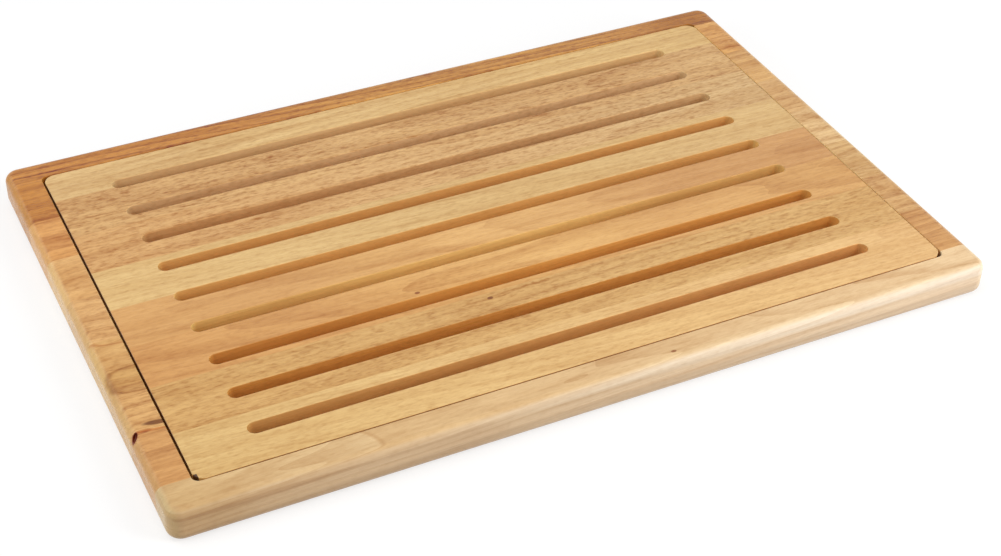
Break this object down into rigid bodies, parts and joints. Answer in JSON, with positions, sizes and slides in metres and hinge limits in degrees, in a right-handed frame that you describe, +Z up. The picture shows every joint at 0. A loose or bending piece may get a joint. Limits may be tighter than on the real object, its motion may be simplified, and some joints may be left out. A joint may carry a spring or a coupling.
{
  "type": "bread board",
  "caption": "Wooden bread board: a shallow crumb tray with rounded edges and a flush lift-out cutting insert with long crumb slots.",
  "frame": {"origin": "centre of the underside, on the surface that the board lies on", "axes": "+X along the long side and the grain, +Y towards the back, +Z up"},
  "size_m": [0.475, 0.315, 0.02],
  "materials": {
    "beech_pale": "pale beech sapwood, sanded and oiled",
    "beech_tan": "steamed beech, fine brown ray flecks, sanded and oiled",
    "beech_rosy": "rosier steamed beech, sanded and oiled",
    "beech_amber": "darker amber-brown beech heartwood, sanded and oiled"
  },
  "bodies": {
    "tray": {"tray_stave_front": "beech_pale", "tray_stave_2": "beech_rosy", "tray_stave_3": "beech_tan", "tray_stave_4": "beech_tan", "tray_stave_5": "beech_tan", "tray_stave_6": "beech_tan", "tray_stave_7": "beech_rosy", "tray_stave_8": "beech_amber", "tray_stave_back": "beech_amber"},
    "insert": {"insert_stave_front": "beech_pale", "insert_stave_2": "beech_tan", "insert_stave_3": "beech_rosy", "insert_stave_4": "beech_tan", "insert_stave_5": "beech_pale", "insert_stave_6": "beech_tan", "insert_stave_7": "beech_tan", "insert_stave_back": "beech_pale"}
  },
  "joints": [
    {"name": "insert_lift", "type": "slide", "parent": "tray", "child": "insert", "axis": [0, 0, 1], "range_m": [0, 0.05]}
  ]
}
